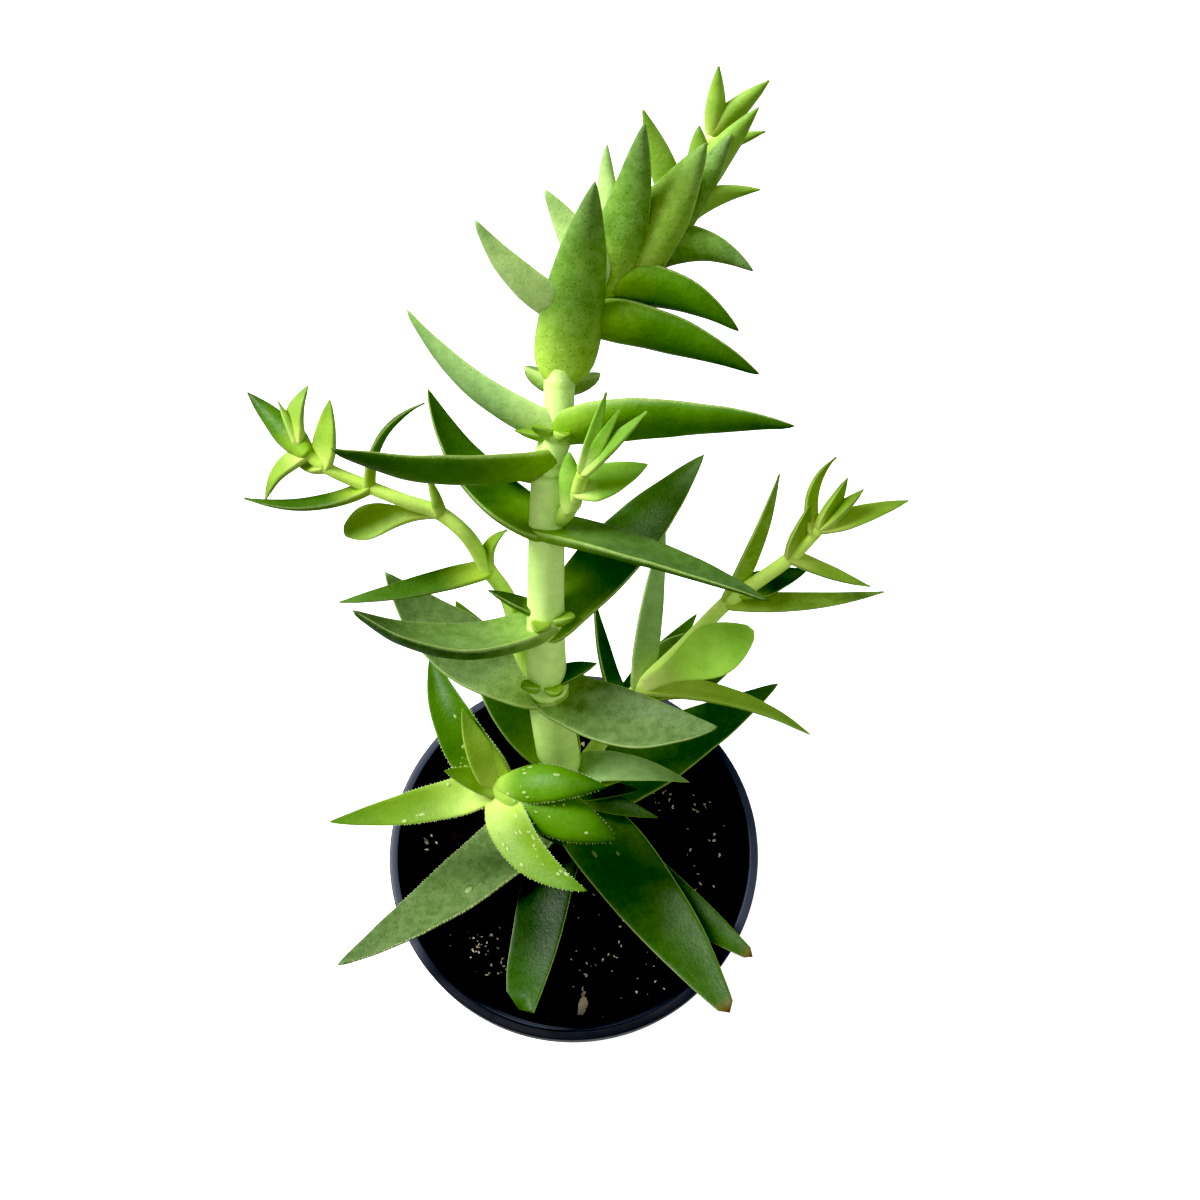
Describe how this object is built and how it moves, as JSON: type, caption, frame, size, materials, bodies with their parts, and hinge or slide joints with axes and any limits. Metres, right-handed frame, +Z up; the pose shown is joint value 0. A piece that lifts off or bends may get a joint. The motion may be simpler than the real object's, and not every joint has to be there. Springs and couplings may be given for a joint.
{
  "type": "potted succulent plant",
  "caption": "Succulent with an arching pale stem, pairs of pointed boat-shaped fleshy leaves and thin side shoots, growing in a round black nursery pot filled with potting mix.",
  "frame": {"origin": "middle of the pot's flat bottom", "axes": "+Z up along the pot's axis, +Y to the side that the main stem leans to"},
  "size_m": [0.1629, 0.1644, 0.2634],
  "materials": {
    "pot": "satin black, with a bluish sheen on the rim",
    "mix": "matte, near black, with pale grains",
    "plant": "waxy green, paler on the stems and the young leaves"
  },
  "bodies": {
    "root": {"pot": "pot", "potting_mix": "mix", "main_shoot": "plant", "left_shoot": "plant", "right_shoot": "plant", "front_shoot": "plant", "upper_side_shoot": "plant"}
  },
  "joints": []
}
